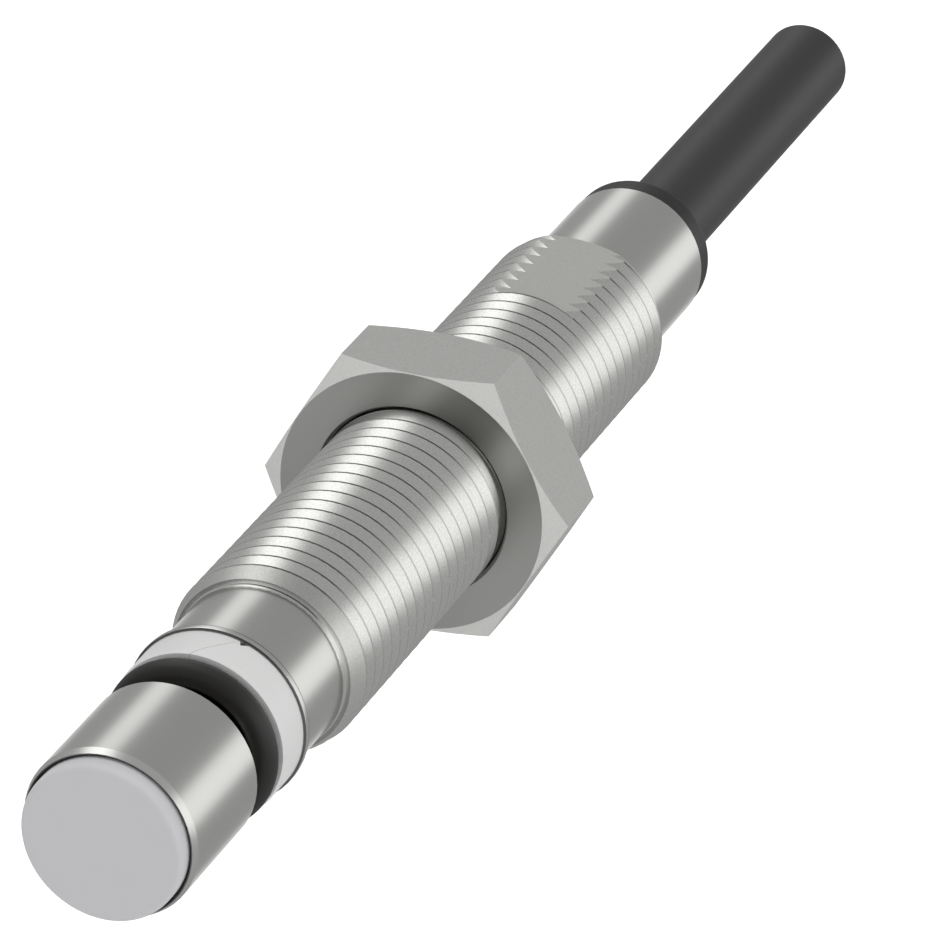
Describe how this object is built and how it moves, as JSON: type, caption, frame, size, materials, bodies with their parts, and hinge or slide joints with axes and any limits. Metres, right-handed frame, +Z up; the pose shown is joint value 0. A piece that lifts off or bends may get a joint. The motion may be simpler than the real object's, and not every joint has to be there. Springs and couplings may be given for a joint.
{
  "type": "inductive proximity sensor",
  "caption": "Threaded metal-barrel inductive sensor with a ceramic sensing face, O-ring and backup ring on its nose, spanner flats, a jam nut and a moulded-in cable.",
  "frame": {"origin": "centre of the ceramic sensing face, on the barrel's axis", "axes": "+Y along the barrel from the sensing face to the cable; +Z the normal of the jam nut's top flat; +X right, looking along +Y with +Z up"},
  "size_m": [0.0196, 0.1142, 0.017],
  "materials": {
    "stainless_barrel": "turned, fine circumferential grain",
    "nut_steel": "satin, slightly blasted",
    "ceramic": "matte, fine-ground",
    "black_seal": "black bonding resin",
    "o_ring_rubber": "soft sheen",
    "white_ptfe": "waxy white",
    "ferrite": "matte grey",
    "bobbin_plastic": "natural",
    "copper": "bare copper",
    "screen_brass": "drawn",
    "potting": "cast resin",
    "board_green": "solder mask",
    "solder": "satin tin",
    "jacket": "matte extruded polyurethane",
    "crimp_steel": "plain",
    "cap_black": "moulded, faint sheen",
    "chip_black": "moulded",
    "tantalum_orange": "moulded",
    "capacitor_tan": "fired",
    "resistor_dark": "fired",
    "core_brown": "insulation",
    "core_blue": "insulation",
    "core_black": "insulation"
  },
  "bodies": {
    "sensor": {"housing": "stainless_barrel", "sensing_face": "ceramic", "bond_ring": "black_seal", "o_ring": "o_ring_rubber", "backup_ring": "white_ptfe", "ferrite_core": "ferrite", "coil_bobbin": "bobbin_plastic", "coil_winding": "copper", "coil_leads": "copper", "screen_sleeve": "screen_brass", "front_potting": "potting", "circuit_board": "board_green", "solder_joints": "solder", "cable_jacket": "jacket", "crimp_ring": "crimp_steel", "end_cap": "cap_black", "rear_potting": "potting", "oscillator_chip": "chip_black", "output_transistor": "chip_black", "protection_diode": "chip_black", "tantalum_capacitor": "tantalum_orange", "chip_capacitors": "capacitor_tan", "chip_resistors": "resistor_dark", "core_brown": "core_brown", "conductor_brown": "copper", "core_blue": "core_blue", "conductor_blue": "copper", "core_black": "core_black", "conductor_black": "copper"},
    "nut": {"jam_nut": "nut_steel"}
  },
  "joints": [
    {"name": "jam_nut_turn", "type": "hinge", "parent": "sensor", "child": "nut", "pos_m": [0, 0.0471, 0], "axis": [0, 1, 0], "continuous": true}
  ]
}
